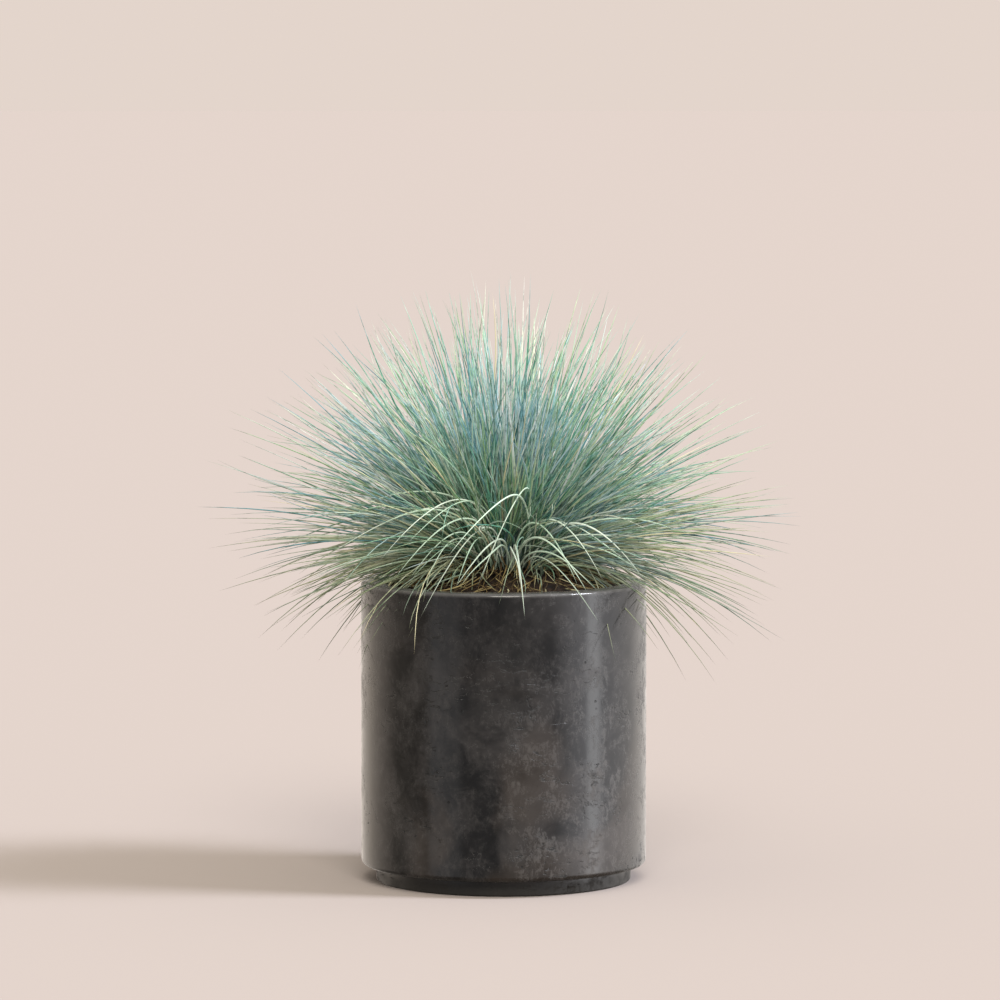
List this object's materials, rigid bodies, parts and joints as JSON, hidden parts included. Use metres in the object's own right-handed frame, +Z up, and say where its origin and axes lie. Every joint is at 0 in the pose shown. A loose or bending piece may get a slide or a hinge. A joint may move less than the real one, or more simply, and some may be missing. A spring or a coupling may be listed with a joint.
{
  "type": "potted blue fescue grass",
  "caption": "Round clump of blue-green needle-leaved ornamental grass in a straight dark stone pot with a recessed foot; stands on its flat base.",
  "frame": {"origin": "middle of the flat underside of the pot's foot", "axes": "+Z up along the pot's axis; -Y is the front, the side where single leaves arch down over the rim"},
  "size_m": [0.3757, 0.322, 0.386],
  "materials": {
    "pot_stone": "satin",
    "soil": "matte",
    "dead_leaf": "matte",
    "leaf": "satin",
    "pale_leaf": "satin"
  },
  "bodies": {
    "root": {"dead_leaf_litter": "dead_leaf", "front_leaf_1": "pale_leaf", "front_leaf_10": "pale_leaf", "front_leaf_11": "pale_leaf", "front_leaf_12": "pale_leaf", "front_leaf_13": "pale_leaf", "front_leaf_14": "pale_leaf", "front_leaf_2": "pale_leaf", "front_leaf_3": "pale_leaf", "front_leaf_4": "pale_leaf", "front_leaf_5": "pale_leaf", "front_leaf_6": "pale_leaf", "front_leaf_7": "pale_leaf", "front_leaf_8": "pale_leaf", "front_leaf_9": "pale_leaf", "pot": "pot_stone", "potting_soil": "soil", "tuft_centre": "leaf", "tuft_drooping_1": "leaf", "tuft_drooping_2": "leaf", "tuft_drooping_3": "leaf", "tuft_drooping_4": "leaf", "tuft_drooping_5": "leaf", "tuft_drooping_6": "leaf", "tuft_drooping_7": "leaf", "tuft_drooping_8": "leaf", "tuft_drooping_9": "leaf", "tuft_front_1": "leaf", "tuft_front_2": "leaf", "tuft_inner_1": "leaf", "tuft_inner_2": "leaf", "tuft_inner_3": "leaf", "tuft_inner_4": "leaf", "tuft_inner_5": "leaf", "tuft_inner_6": "leaf", "tuft_inner_7": "leaf", "tuft_inner_8": "leaf", "tuft_middle_1": "leaf", "tuft_middle_2": "leaf", "tuft_middle_3": "leaf", "tuft_middle_4": "leaf", "tuft_middle_5": "leaf", "tuft_middle_6": "leaf", "tuft_middle_7": "leaf", "tuft_middle_8": "leaf", "tuft_middle_9": "leaf", "tuft_outer_1": "leaf", "tuft_outer_2": "leaf", "tuft_outer_3": "leaf", "tuft_outer_4": "leaf", "tuft_outer_5": "leaf", "tuft_outer_6": "leaf", "tuft_outer_7": "leaf", "tuft_outer_8": "leaf", "tuft_outer_9": "leaf", "tuft_upright_1": "leaf", "tuft_upright_2": "leaf", "tuft_upright_3": "leaf", "tuft_upright_4": "leaf", "tuft_upright_5": "leaf"}
  },
  "joints": []
}
